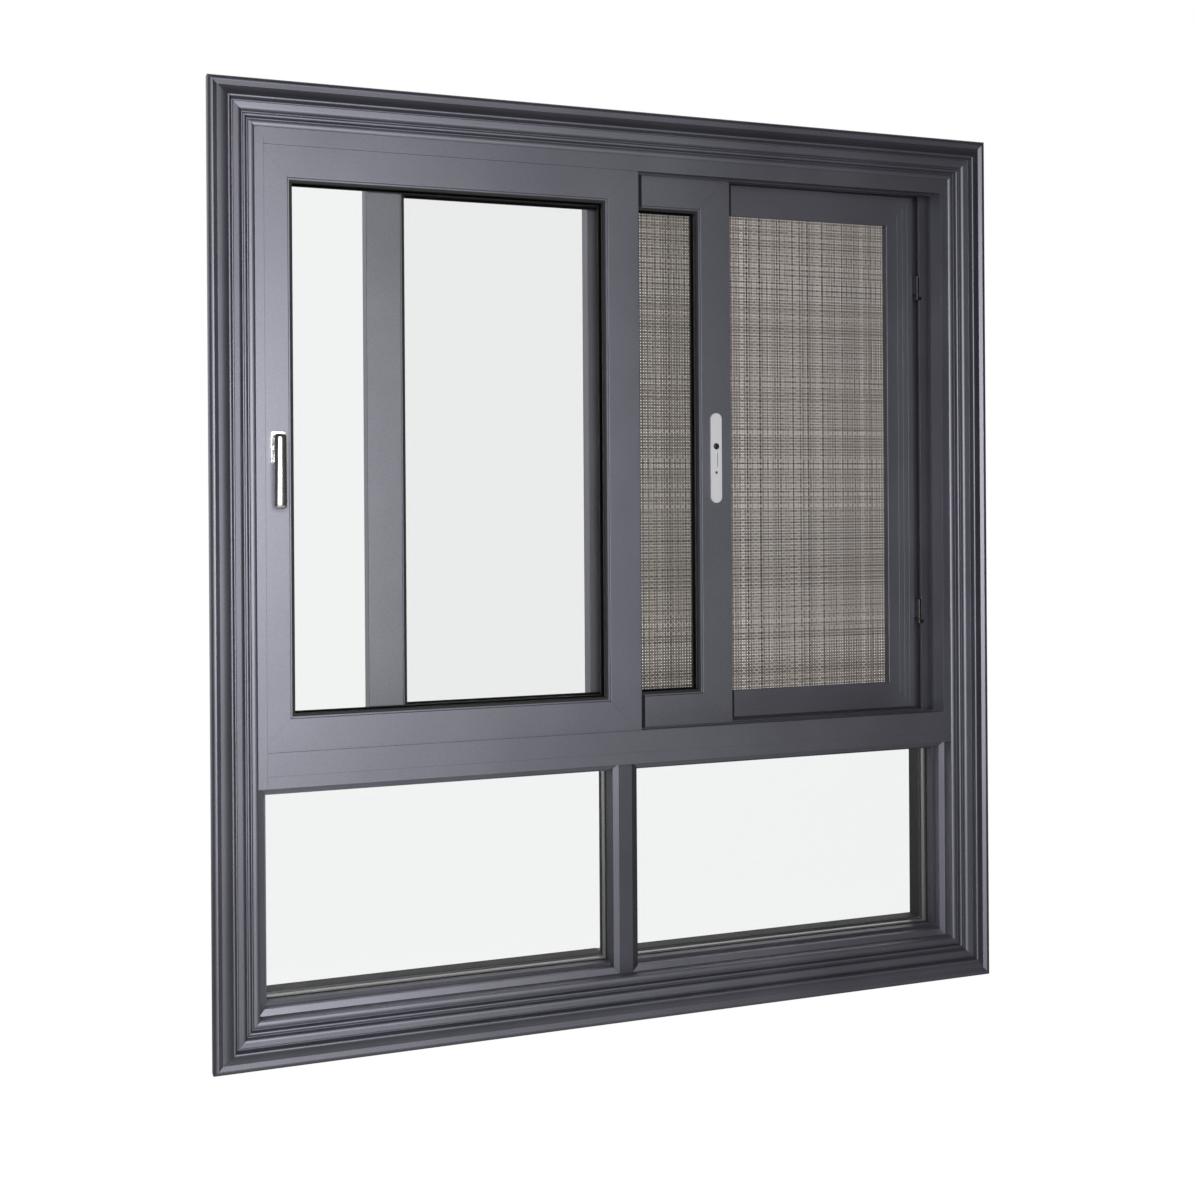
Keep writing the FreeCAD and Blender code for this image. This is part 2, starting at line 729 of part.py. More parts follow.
def make_light(name, left, right):
    """Glass in its pocket, held by four beads on the room side, with a gasket on each side."""
    pocket_front = fin_ranges()[0][1]
    sight = Rectangle(left, right, frame_bottom + light_sight,
                      transom_face_bottom - bevel_width - light_bead_step)
    cover = light_groove - light_glass_edge_gap
    make_glass_unit(name, sight, cover, light_glass_y, light_spacer_width)
    bead_width = light_groove - light_edge_gap
    bead_rim = sight.inset(-bead_width)
    bead_back = pocket_front + light_bead_thickness
    profile = [(0.0, pocket_front), (bead_width, pocket_front), (bead_width, bead_back), (0.0, bead_back)]
    beads = []
    short = Rectangle(bead_rim.left, bead_rim.right, bead_rim.bottom + bead_width + face_clearance,
                      bead_rim.top - bead_width - face_clearance)
    for side, rim in (("left", short), ("right", short), ("top", bead_rim), ("bottom", bead_rim)):
        beads.append(run_along(profile, side, rim))
    save(name + "_beads", Part.makeCompound(beads))
    glass_back = light_glass_y + unit_thickness
    front = ring(bead_rim, bead_width + light_gasket_show, bead_back, light_glass_y)
    rear = ring(bead_rim, bead_width, glass_back, light_pocket_back)
    save(name + "_gasket", Part.makeCompound([front, rear]))


make_casing()
frame_jambs, frame_bottom_bar = make_frame()
make_sill(frame_jambs)
transom_bar = make_transom(frame_jambs)
make_mullion(transom_bar, frame_bottom_bar)
left_rim, left_face = make_sash("left_sash", frame_left + frame_web + face_clearance, 0)
middle_rim, middle_face = make_sash("middle_sash", left_x + middle_sash_left_from_left, 1)
make_handle(left_face)
make_lock_plate(middle_rim, middle_face)
make_screen()
make_light("left_light", frame_left + light_sight, mullion_x - mullion_half)
make_light("right_light", mullion_x + mullion_half, frame_right - light_sight)
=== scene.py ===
import json
import math
import random

import bmesh
import bpy
from mathutils import Matrix, Vector


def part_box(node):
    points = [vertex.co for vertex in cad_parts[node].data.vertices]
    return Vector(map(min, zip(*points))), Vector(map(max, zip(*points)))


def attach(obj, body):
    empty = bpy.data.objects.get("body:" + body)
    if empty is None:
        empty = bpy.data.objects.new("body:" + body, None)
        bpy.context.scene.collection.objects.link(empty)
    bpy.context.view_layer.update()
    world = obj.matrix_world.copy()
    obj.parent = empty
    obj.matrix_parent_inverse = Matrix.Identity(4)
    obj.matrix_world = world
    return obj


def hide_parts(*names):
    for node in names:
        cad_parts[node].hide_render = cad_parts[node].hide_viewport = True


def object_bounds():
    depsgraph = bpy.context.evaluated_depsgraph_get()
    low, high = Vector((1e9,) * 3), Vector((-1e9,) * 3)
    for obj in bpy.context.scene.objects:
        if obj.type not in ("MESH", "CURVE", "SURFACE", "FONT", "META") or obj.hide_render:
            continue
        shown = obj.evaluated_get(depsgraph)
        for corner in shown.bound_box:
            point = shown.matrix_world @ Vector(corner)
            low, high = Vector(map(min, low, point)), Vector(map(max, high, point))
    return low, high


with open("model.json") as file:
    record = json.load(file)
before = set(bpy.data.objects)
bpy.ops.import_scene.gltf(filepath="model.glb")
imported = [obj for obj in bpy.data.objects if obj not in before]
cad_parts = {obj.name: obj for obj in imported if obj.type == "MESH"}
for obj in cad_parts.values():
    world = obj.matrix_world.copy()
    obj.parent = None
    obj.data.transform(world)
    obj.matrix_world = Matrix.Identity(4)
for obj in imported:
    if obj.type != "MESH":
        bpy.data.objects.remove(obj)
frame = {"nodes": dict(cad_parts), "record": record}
cad_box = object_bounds()

# The view of the photograph: metres, degrees and millimetres of lens
CAMERA_PLACE = Vector((-0.928, -2.356, 0.8325))
CAMERA_TURN = 20.24
CAMERA_ROLL = 0.382
CAMERA_LENS = 45.99
CAMERA_SENSOR = 36.0
CAMERA_SHIFT_Y = -0.0792
CAMERA_CLIP_END = 50.0

# The studio's one round lamp, near the camera's own line, in metres and watts. It is just narrow
# enough for its mirror image to stay off the left sash's glass.
LAMP_PLACE = (-0.93, -3.2, 0.93)
LAMP_AIM = (0.0, 0.0, 0.75)
LAMP_SIZE = 1.48
LAMP_POWER = 84

# Insect screen: real screens have a thread about every 1.4 mm, too fine to show in the render,
# so the weave is drawn this coarse
WEAVE_PITCH = 0.0050
WEAVE_JITTER = 0.0006
THREAD_WIDTH = 0.0036
THREAD_WIDTH_JITTER = 0.0009
THREAD_LIFT = 0.00025
THREAD_CROWN = 0.0002
WEAVE_SEED = 7

# A thread's tone, from dark at 0 to light at 1, its spread from thread to thread, and how much
# the thread's own fuzz adds to it
THREAD_TONE = 0.28
THREAD_TONE_SPREAD = 0.14
THREAD_FUZZ = 0.35

# Black strips of painted shade in the gap beside a sash's interlock, on the rails behind it
SHADE_STRIP_WIDTH = 0.0065
SHADE_STRIP_THICKNESS = 0.0012
SHADE_STRIP_BEYOND_SASH = 0.0135

# A shade strip's crowned section, in parts of its width and of its thickness
SHADE_STRIP_SECTION = ((-0.5, 0.0), (-0.42, -0.7), (-0.2, -1.0), (0.2, -1.0), (0.42, -0.7), (0.5, 0.0))

# The stile beside which the shade strips show, and the sash or leaf behind it whose rails carry them
SHADE_STRIP_CARRIERS = (("left_sash_right_stile", "middle_sash"), ("middle_sash_right_stile", "screen"))

# Lever: an oval grip that thins to its low end, on an oval neck that flares into it
OVAL_SIDES = 40
GRIP_THICKNESS = 0.013
GRIP_END_ROUNDING = 0.006
GRIP_LOW_THINNING = 0.35
GRIP_END_WIDTH = 0.55
GRIP_END_STEPS = (0.02, 0.12, 0.3, 0.55, 0.8, 1.0)
GRIP_MIDDLE_STEPS = (0.2, 0.4, 0.6, 0.8)
NECK_BELOW_TOP = 0.020
NECK_HALF_WIDTH = 0.0065
NECK_HALF_HEIGHT = 0.0080
NECK_FLARE = 0.0035
NECK_FLARE_START = 0.35
NECK_FLARE_ACROSS = 0.6
NECK_STEPS = (0.0, 0.35, 0.6, 0.75, 0.88, 1.0)

# Lock plate: middle across and up, half sizes, back and front of each black face
LOCK_FACES = (
    (0.1729, 0.9277, 0.0050, 0.0058, 0.0332, 0.0320),
    (0.1735, 0.8826, 0.0022, 0.0030, 0.0332, 0.0322),
    (0.1732, 0.9045, 0.0005, 0.0150, 0.0304, 0.0301),
)

# Rings of a black face from back to front: how far back each one lies, and its size
LOCK_FACE_RINGS = ((1.0, 1.0), (0.4, 0.96), (0.0, 0.75))

# Rubber: the lips that seal a sash's glass; and black liners on the rear flanges of the fixed lights,
# which are painted shade
LIP_WIDTH = 0.0050
LIP_HEIGHT = 0.0033
LIP_REAR_SHARE = 0.75
LINER_THICKNESS = 0.0009
LINER_CORNER_CUT = 0.7
LINER_FRONT = 0.0732
LINER_BACK = 0.1052
LINER_BACK_AT_MULLION = 0.0842
FRAME_FLANGE = 0.045

# A lip's crowned wedge, in parts of its width and of its height above the glass
LIP_SECTION = ((0.0, 1.0), (0.55, 0.9), (0.9, 0.5), (1.0, 0.0), (0.0, 0.0))

# Floor: its fall below the window and half its width
FLOOR_DROP = 0.9
FLOOR_REACH = 6

# Rays that round off an edge in a finish
BEVEL_SAMPLES = 4

# How much longer the chrome's wiping marks are than wide, as a scale along the lever
WIPE_STRETCH = 0.12

# What the glass shows of the backdrop and floor: a touch under white
PALE_BEYOND_GLASS = "#f8faf9"

# The dim part of the studio that faces the window, beside the lamp
ROOM_LEVEL = 0.05

# A mirrored ray that heads at least this much away from the room meets the white backdrop
BACKDROP_HEADING = 0.25


def linear(text):
    """An sRGB hex colour as the linear values that a shader takes."""
    values = []
    for start in (1, 3, 5):
        value = int(text[start:start + 2], 16) / 255
        values.append(value / 12.92 if value <= 0.04045 else ((value + 0.055) / 1.055) ** 2.4)
    return (*values, 1.0)


def per_mm(size):
    """The scale that makes a pattern's marks about this many millimetres across."""
    return 1000.0 / size


def add(tree, kind, links=None, stops=None, **settings):
    """Add a node. Settings name its properties or sockets, links give the sources of its sockets,
    and stops are a colour ramp's places and colours."""
    node = tree.nodes.new(kind)
    for name, value in settings.items():
        if hasattr(node, name):
            setattr(node, name, value)
        else:
            node.inputs[name.replace("_", " ")].default_value = value
    for name, source in (links or {}).items():
        tree.links.new(source, node.inputs[name])
    for place, colour in stops or []:
        ramp = node.color_ramp.elements
        if place == 0.0:
            stop = ramp[0]
        elif place == 1.0:
            stop = ramp[-1]
        else:
            stop = ramp.new(place)
        stop.color = linear(colour)
    return node


def new_material(name):
    """A material's empty tree and the place on the object, in metres."""
    material = bpy.data.materials.new(name)
    material.use_nodes = True
    tree = material.node_tree
    tree.nodes.clear()
    return material, tree, add(tree, "ShaderNodeTexCoord").outputs["Object"]


def bounced_light(tree, path):
    """1 for a ray that has already bounced off a surface, 0 for one that is still the camera's own."""
    bounces = add(tree, "ShaderNodeMath", {0: path.outputs["Diffuse Depth"],
                                           1: path.outputs["Glossy Depth"]}, operation="ADD")
    return add(tree, "ShaderNodeMath", {0: bounces.outputs[0]}, operation="GREATER_THAN").outputs[0]


def finish_material(tree, shader):
    """Join the finished shader to the material's output."""
    add(tree, "ShaderNodeOutputMaterial", {"Surface": shader})


def satin_powder_coat(name, dark, light):
    """Metallic polyester powder on extruded aluminium, sprayed and baked: a satin sheen that falls
    off with the angle, faint clouds in the tone, orange peel, and edges that catch the light. The
    real flake is far finer than the render shows, so it is drawn at 1.8 mm."""
    material, tree, place = new_material(name)
    cloud = add(tree, "ShaderNodeTexNoise", {"Vector": place}, Scale=per_mm(160), Detail=2.0)
    flake = add(tree, "ShaderNodeTexNoise", {"Vector": place}, Scale=per_mm(1.8), Detail=1.0)
    tone = add(tree, "ShaderNodeMath", {0: cloud.outputs["Fac"], 1: flake.outputs["Fac"]},
               operation="ADD")
    spread = add(tree, "ShaderNodeMapRange", {"Value": tone.outputs[0]}, From_Min=0.5, From_Max=1.5)
    colour = add(tree, "ShaderNodeValToRGB", {"Fac": spread.outputs[0]},
                 stops=[(0.0, dark), (1.0, light)])
    satin = add(tree, "ShaderNodeMapRange", {"Value": cloud.outputs["Fac"]}, To_Min=0.49, To_Max=0.54)
    soft_edge = add(tree, "ShaderNodeBevel", samples=BEVEL_SAMPLES, Radius=0.0006)
    peel = add(tree, "ShaderNodeTexNoise", {"Vector": place}, Scale=per_mm(3.5), Detail=1.0)
    bump = add(tree, "ShaderNodeBump", {"Height": peel.outputs["Fac"], "Normal": soft_edge.outputs[0]},
               Strength=0.06, Distance=0.0003)
    shader = add(tree, "ShaderNodeBsdfPrincipled",
                 {"Base Color": colour.outputs["Color"], "Roughness": satin.outputs[0],
                  "Normal": bump.outputs["Normal"]}, Metallic=1.0)
    finish_material(tree, shader.outputs["BSDF"])
    return material


def float_glass():
    """Clear float glass: almost no colour, a weak reflection, and the slight waves of the rollers
    that it was tempered on. Light goes through it to what lies behind."""
    material, tree, place = new_material("clear_float_glass")
    wave = add(tree, "ShaderNodeTexNoise", {"Vector": place}, Scale=per_mm(260), Detail=0.0)
    bump = add(tree, "ShaderNodeBump", {"Height": wave.outputs["Fac"]}, Strength=0.01, Distance=0.0003)
    glass = add(tree, "ShaderNodeBsdfPrincipled", {"Normal": bump.outputs["Normal"]},
                Base_Color=linear("#ffffff"), Roughness=0.0, IOR=1.3, Specular_IOR_Level=0.25,
                Transmission_Weight=1.0)
    clear = add(tree, "ShaderNodeBsdfTransparent", Color=linear("#fbfbfa"))
    path = add(tree, "ShaderNodeLightPath")
    passing = add(tree, "ShaderNodeMath", {0: path.outputs["Is Shadow Ray"],
                                           1: bounced_light(tree, path)}, operation="MAXIMUM")
    mix = add(tree, "ShaderNodeMixShader", {"Fac": passing.outputs[0],
                                            1: glass.outputs["BSDF"], 2: clear.outputs["BSDF"]})
    finish_material(tree, mix.outputs["Shader"])
    return material


def extruded_rubber():
    """Black EPDM gasket: matt, with the fine grain of the extruder and a dusty bloom. The grain is
    drawn at 0.8 mm, coarser than it is, so that it shows."""
    material, tree, place = new_material("extruded_epdm_rubber")
    bloom = add(tree, "ShaderNodeTexNoise", {"Vector": place}, Scale=per_mm(25), Detail=4.0)
    colour = add(tree, "ShaderNodeValToRGB", {"Fac": bloom.outputs["Fac"]},
                 stops=[(0.0, "#0e0f10"), (1.0, "#232425")])
    grain = add(tree, "ShaderNodeTexNoise", {"Vector": place}, Scale=per_mm(0.8), Detail=2.0)
    bump = add(tree, "ShaderNodeBump", {"Height": grain.outputs["Fac"]}, Strength=0.3, Distance=0.0001)
    rough = add(tree, "ShaderNodeMapRange", {"Value": bloom.outputs["Fac"]}, To_Min=0.55, To_Max=0.75)
    shader = add(tree, "ShaderNodeBsdfPrincipled",
                 {"Base Color": colour.outputs["Color"], "Roughness": rough.outputs[0],
                  "Normal": bump.outputs["Normal"]})
    finish_material(tree, shader.outputs["BSDF"])
    return material


def rolled_spacer():
    """Roll-formed aluminium spacer bar: bright grey with rows of small breathing marks."""
    material, tree, place = new_material("roll_formed_aluminium")
    marks = add(tree, "ShaderNodeTexVoronoi", {"Vector": place}, Scale=per_mm(3.0))
    colour = add(tree, "ShaderNodeValToRGB", {"Fac": marks.outputs["Distance"]},
                 stops=[(0.0, "#7f8280"), (0.3, "#a9acaa"), (1.0, "#b4b7b5")])
    bump = add(tree, "ShaderNodeBump", {"Height": marks.outputs["Distance"]}, Strength=0.2,
               Distance=0.0002)
    shader = add(tree, "ShaderNodeBsdfPrincipled",
                 {"Base Color": colour.outputs["Color"], "Normal": bump.outputs["Normal"]},
                 Metallic=0.85, Roughness=0.4)
    finish_material(tree, shader.outputs["BSDF"])
    return material


def moulded_nylon():
    """Natural nylon, injection moulded: milky, half gloss, greyed where it has run on the rail."""
    material, tree, place = new_material("moulded_nylon")
    grey = add(tree, "ShaderNodeTexNoise", {"Vector": place}, Scale=per_mm(6), Detail=3.0)
    colour = add(tree, "ShaderNodeValToRGB", {"Fac": grey.outputs["Fac"]},
                 stops=[(0.0, "#a9a9a2"), (1.0, "#dcdcd4")])
    bump = add(tree, "ShaderNodeBump", {"Height": grey.outputs["Fac"]}, Strength=0.15, Distance=0.0001)
    shader = add(tree, "ShaderNodeBsdfPrincipled",
                 {"Base Color": colour.outputs["Color"], "Normal": bump.outputs["Normal"]},
                 Roughness=0.42)
    finish_material(tree, shader.outputs["BSDF"])
    return material


def woven_thread():
    """Coated fibreglass thread: taupe, each thread a little lighter or darker than the next, which
    gives the screen its faint plaid."""
    material, tree, place = new_material("coated_fibreglass_thread")
    tone = add(tree, "ShaderNodeAttribute", attribute_name="thread_tone")
    fuzz = add(tree, "ShaderNodeTexNoise", {"Vector": place}, Scale=per_mm(4), Detail=2.0)
    mixed = add(tree, "ShaderNodeMath", {0: fuzz.outputs["Fac"], 2: tone.outputs["Fac"]},
                operation="MULTIPLY_ADD")
    mixed.inputs[1].default_value = THREAD_FUZZ
    colour = add(tree, "ShaderNodeValToRGB", {"Fac": mixed.outputs[0]},
                 stops=[(0.0, "#433d39"), (0.5, "#80776f"), (1.0, "#d2c9c0")])
    shader = add(tree, "ShaderNodeBsdfPrincipled", {"Base Color": colour.outputs["Color"]},
                 Roughness=0.6)
    finish_material(tree, shader.outputs["BSDF"])
    return material


def coated_steel():
    """Black electro-coated steel: even, with a low gloss and a fine pebble from the bake, which is
    drawn at 1.2 mm, coarser than it is, so that it shows."""
    material, tree, place = new_material("black_coated_steel")
    pebble = add(tree, "ShaderNodeTexNoise", {"Vector": place}, Scale=per_mm(1.2), Detail=2.0)
    colour = add(tree, "ShaderNodeValToRGB", {"Fac": pebble.outputs["Fac"]},
                 stops=[(0.0, "#101012"), (1.0, "#202023")])
    soft_edge = add(tree, "ShaderNodeBevel", samples=BEVEL_SAMPLES, Radius=0.0004)
    bump = add(tree, "ShaderNodeBump", {"Height": pebble.outputs["Fac"],
                                        "Normal": soft_edge.outputs[0]}, Strength=0.2, Distance=0.0001)
    shader = add(tree, "ShaderNodeBsdfPrincipled",
                 {"Base Color": colour.outputs["Color"], "Normal": bump.outputs["Normal"]},
                 Roughness=0.38)
    finish_material(tree, shader.outputs["BSDF"])
    return material


def bright_chrome():
    """Zinc casting, polished and chrome plated: bright, its mirror a little softened, with faint
    wiping marks along it that are drawn at 1.5 mm so that they show."""
    material, tree, place = new_material("polished_chrome_plate")
    along = add(tree, "ShaderNodeMapping", {"Vector": place}, Scale=(1.0, 1.0, WIPE_STRETCH))
    wipe = add(tree, "ShaderNodeTexNoise", {"Vector": along.outputs[0]}, Scale=per_mm(1.5), Detail=3.0)
    rough = add(tree, "ShaderNodeMapRange", {"Value": wipe.outputs["Fac"]}, To_Min=0.19, To_Max=0.24)
    colour = add(tree, "ShaderNodeValToRGB", {"Fac": wipe.outputs["Fac"]},
                 stops=[(0.0, "#dedcd9"), (1.0, "#f2f1ef")])
    soft_edge = add(tree, "ShaderNodeBevel", samples=BEVEL_SAMPLES, Radius=0.0012)
    shader = add(tree, "ShaderNodeBsdfPrincipled",
                 {"Base Color": colour.outputs["Color"], "Roughness": rough.outputs[0],
                  "Normal": soft_edge.outputs[0]}, Metallic=1.0)
    finish_material(tree, shader.outputs["BSDF"])
    return material


def pearl_anodised():
    """Aluminium plate, bead blasted and clear anodised: nearly white, soft, with a fine grain that
    is drawn at 0.9 mm, coarser than the beads leave it, so that it shows."""
    material, tree, place = new_material("bead_blasted_anodised_plate")
    grain = add(tree, "ShaderNodeTexNoise", {"Vector": place}, Scale=per_mm(0.9), Detail=2.0)
    colour = add(tree, "ShaderNodeValToRGB", {"Fac": grain.outputs["Fac"]},
                 stops=[(0.0, "#e2e2e5"), (1.0, "#fbfbfc")])
    soft_edge = add(tree, "ShaderNodeBevel", samples=BEVEL_SAMPLES, Radius=0.0006)
    bump = add(tree, "ShaderNodeBump", {"Height": grain.outputs["Fac"],
                                        "Normal": soft_edge.outputs[0]}, Strength=0.1, Distance=0.0001)
    shader = add(tree, "ShaderNodeBsdfPrincipled",
                 {"Base Color": colour.outputs["Color"], "Normal": bump.outputs["Normal"]},
                 Metallic=0.25, Roughness=0.36)
    finish_material(tree, shader.outputs["BSDF"])
    return material


def painted_shade_pile():
    """Black like polypropylene pile, used as painted shade: it drinks the light, with a broken, furry
    surface.
    The tufts are drawn at 0.7 mm, thicker than the fibres, so that they show."""
    material, tree, place = new_material("painted_shade_black_pile")
    tuft = add(tree, "ShaderNodeTexNoise", {"Vector": place}, Scale=per_mm(0.7), Detail=3.0)
    colour = add(tree, "ShaderNodeValToRGB", {"Fac": tuft.outputs["Fac"]},
                 stops=[(0.0, "#08080a"), (1.0, "#202024")])
    bump = add(tree, "ShaderNodeBump", {"Height": tuft.outputs["Fac"]}, Strength=0.8, Distance=0.0004)
    shader = add(tree, "ShaderNodeBsdfPrincipled",
                 {"Base Color": colour.outputs["Color"], "Normal": bump.outputs["Normal"]},
                 Roughness=0.9)
    finish_material(tree, shader.outputs["BSDF"])
    return material


finishes = {
    "frame_powder_coat": satin_powder_coat("satin_metallic_powder_coat", "#777780", "#8a8a94"),
    "clear_glass": float_glass(),
    "black_rubber": extruded_rubber(),
    "spacer_aluminium": rolled_spacer(),
    "roller_nylon": moulded_nylon(),
    "screen_weave": woven_thread(),
    "hinge_black": coated_steel(),
    "handle_chrome": bright_chrome(),
    "lock_silver": pearl_anodised(),
}


def dress_nodes():
    """Each node in its slot's finish; the fixed lights' mullion and beads, set back in the frame, get a
    darker copy of the coat, which is painted shade.
    """
    slot_of = {row["node"]: row["material_slot"] for row in frame["record"]["subparts"]}
    # The darker copy of the coat is painted shade on the set-back mullion and beads.
    darker = satin_powder_coat("satin_powder_coat_painted_shade", "#62626b", "#73737c")
    for node, obj in frame["nodes"].items():
        in_painted_shade = node == "mullion" or node.endswith("_light_beads")
        obj.data.materials.clear()
        obj.data.materials.append(darker if in_painted_shade else finishes[slot_of[node]])


def new_piece(name, vertices, faces, material, smooth=True):
    """A piece of the scene's own, its faces turned outwards, that goes with the window's body."""
    mesh = bpy.data.meshes.new(name)
    mesh.from_pydata(vertices, [], faces)
    mesh.materials.append(material)
    shell = bmesh.new()
    shell.from_mesh(mesh)
    bmesh.ops.recalc_face_normals(shell, faces=shell.faces)
    shell.to_mesh(mesh)
    shell.free()
    mesh.polygons.foreach_set("use_smooth", [smooth] * len(mesh.polygons))
    piece = bpy.data.objects.new(name, mesh)
    bpy.context.scene.collection.objects.link(piece)
    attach(piece, "root")
    return piece


def thread_places(low, high, dice):
    """Where the threads lie, a pitch apart and a little uneven, with each one's width and tone."""
    count = int((high - low) / WEAVE_PITCH)
    threads = []
    for index in range(count):
        even = low + (index + 0.5) * (high - low) / count
        place = even + dice.uniform(-0.5, 0.5) * WEAVE_JITTER
        width = THREAD_WIDTH + dice.uniform(-0.5, 0.5) * THREAD_WIDTH_JITTER
        threads.append((place, width, dice.gauss(THREAD_TONE, THREAD_TONE_SPREAD)))
    return threads


def weave_screen():
    """A plain weave: each thread goes over one crossing thread and under the next."""
    low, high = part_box("screen_mesh")
    dice = random.Random(WEAVE_SEED)
    upright = thread_places(low[0], high[0], dice)
    level = thread_places(low[2], high[2], dice)
    middle = (low[1] + high[1]) / 2
    vertices, faces, tones = [], [], []
    for own, others, is_upright in ((upright, level, True), (level, upright, False)):
        for number, (place, width, tone) in enumerate(own):
            first = len(vertices)
            for step, (crossing, _, _) in enumerate(others):
                over = (number + step) % 2 == (0 if is_upright else 1)
                depth = middle + (-THREAD_LIFT if over else THREAD_LIFT)
                for across, rise in ((-0.5, 0.0), (0.0, THREAD_CROWN), (0.5, 0.0)):
                    side = place + across * width
                    x, z = (side, crossing) if is_upright else (crossing, side)
                    vertices.append((x, depth - rise, z))
                tones += [tone] * 3
            for step in range(len(others) - 1):
                a = first + 3 * step
                faces += [(a, a + 1, a + 4, a + 3), (a + 1, a + 2, a + 5, a + 4)]
    weave = new_piece("woven_screen", vertices, faces, finishes["screen_weave"])
    layer = weave.data.attributes.new("thread_tone", "FLOAT", "POINT")
    layer.data.foreach_set("value", tones)
    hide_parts("screen_mesh")


def shade_strip_vertices(x, face_y, low, high):
    """A strip of painted shade with a crowned face, on a rail's room side between two heights."""
    points = []
    for z in (low, high):
        points += [(x + across * SHADE_STRIP_WIDTH, face_y + depth * SHADE_STRIP_THICKNESS, z)
                   for across, depth in SHADE_STRIP_SECTION]
    return points


def add_painted_shade_strips():
    """Black strips of painted shade where a rail runs behind the stile of the sash in front."""
    vertices, faces = [], []
    count = len(SHADE_STRIP_SECTION)
    for stile, carrier in SHADE_STRIP_CARRIERS:
        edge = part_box(stile)[1][0]
        for rail in ("top_rail", "bottom_rail"):
            low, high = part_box(carrier + "_" + rail)
            first = len(vertices)
            vertices += shade_strip_vertices(edge + SHADE_STRIP_BEYOND_SASH + SHADE_STRIP_WIDTH / 2, low[1], low[2], high[2])
            second = first + count
            faces += [tuple(range(first, second)), tuple(range(second + count - 1, second - 1, -1))]
            faces += [(first + i, second + i, second + (i + 1) % count, first + (i + 1) % count)
                      for i in range(count)]
    # These strips paint the shade in the gap beside each interlock.
    new_piece("painted_shade_strips", vertices, faces, painted_shade_pile(), smooth=False)


def sides_of(left, low, right, high):
    """An opening's four sides: two ends and the direction to its middle, across and up."""
    return [((left, low), (left, high), (1, 0)), ((right, low), (right, high), (-1, 0)),
            ((left, low), (right, low), (0, 1)), ((left, high), (right, high), (0, -1))]


def rubber_strip(vertices, faces, side, profile):
    """One strip along a side. The profile gives each point's reach into the opening and its depth."""
    first = len(vertices)
    count = len(profile)
    start, end, inward = side
    for x, z in (start, end):
        vertices += [(x + inward[0] * reach, depth, z + inward[1] * reach) for reach, depth in profile]
    second = first + count
    faces += [tuple(range(first, second)), tuple(range(second + count - 1, second - 1, -1))]
    faces += [(first + i, first + (i + 1) % count, second + (i + 1) % count, second + i)
              for i in range(count)]


def lip_profile(glass, outward):
    """A soft lip on the glass: a crowned wedge, its high side against the sash."""
    return [(LIP_WIDTH * reach, glass + outward * LIP_HEIGHT * height) for reach, height in LIP_SECTION]


def shade_liner_profile(back):
    """A thin flat liner of painted shade, with its two edges cut off at a slant."""
    edge = LINER_THICKNESS * LINER_CORNER_CUT
    return [(0.0, LINER_FRONT), (LINER_THICKNESS, LINER_FRONT + edge), (LINER_THICKNESS, back - edge),
            (0.0, back)]


def add_sash_lips_and_shade_liners():
    """Rubber lips round both faces of the sliding panes; black liners of painted shade on the flanges
    behind the fixed panes.
    """
    vertices, faces = [], []
    for sash in ("left_sash", "middle_sash"):
        low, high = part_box(sash + "_gasket")
        front, rear = (corner[1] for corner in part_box(sash + "_glass"))
        for side in sides_of(low[0], low[2], high[0], high[2]):
            rubber_strip(vertices, faces, side, lip_profile(front, -1))
            rubber_strip(vertices, faces, side, lip_profile(rear, LIP_REAR_SHARE))
    frame_low, frame_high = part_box("frame_bottom")
    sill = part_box("transom")[0][2]
    post_left, post_right = (corner[0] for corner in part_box("mullion"))
    floor = frame_low[2] + FRAME_FLANGE
    openings = ((frame_low[0] + FRAME_FLANGE, post_left, post_left),
                (post_right, frame_high[0] - FRAME_FLANGE, post_right))
    for left, right, post in openings:
        for side in sides_of(left, floor, right, sill):
            on_post = side[0][0] == post and side[1][0] == post
            back = LINER_BACK_AT_MULLION if on_post else LINER_BACK
            # The liners paint the shade on the rear flanges, in the black rubber finish.
            rubber_strip(vertices, faces, side, shade_liner_profile(back))
    new_piece("sash_lips_and_painted_shade_liners", vertices, faces, finishes["black_rubber"], smooth=False)


def oval(centre, half_across, half_away):
    """A ring of points round a centre, from its two half axes."""
    turns = [2 * math.pi * side / OVAL_SIDES for side in range(OVAL_SIDES)]
    return [centre + half_across * math.cos(turn) + half_away * math.sin(turn) for turn in turns]


def skin(rings, first):
    """Faces that join rings of points into a closed form, numbered from the first point."""
    last = first + (len(rings) - 1) * OVAL_SIDES
    faces = [tuple(range(first + OVAL_SIDES - 1, first - 1, -1)), tuple(range(last, last + OVAL_SIDES))]
    for start in range(first, last, OVAL_SIDES):
        above = start + OVAL_SIDES
        for side in range(OVAL_SIDES):
            after = (side + 1) % OVAL_SIDES
            faces.append((start + side, start + after, above + after, above + side))
    return faces


def grip_rings(low, high):
    """The grip from its low end to its top, rounded off at both."""
    length = high[2] - low[2]
    ends = [GRIP_END_ROUNDING * part for part in GRIP_END_STEPS]
    heights = ends + [length * part for part in GRIP_MIDDLE_STEPS]
    heights += [length - end for end in ends[::-1]]
    half_width = (high[0] - low[0]) / 2
    half_thickness = GRIP_THICKNESS / 2
    rings = []
    for height in heights:
        from_end = min(height, length - height, GRIP_END_ROUNDING) / GRIP_END_ROUNDING
        rounding = math.sqrt(1 - (1 - from_end) ** 2)
        thin = 1 - GRIP_LOW_THINNING * (1 - height / length)
        wide = GRIP_END_WIDTH + (1 - GRIP_END_WIDTH) * rounding
        centre = Vector(((low[0] + high[0]) / 2, low[1] + half_thickness, low[2] + height))
        rings.append(oval(centre, Vector((half_width * wide, 0, 0)),
                          Vector((0, half_thickness * thin * rounding, 0))))
    return rings


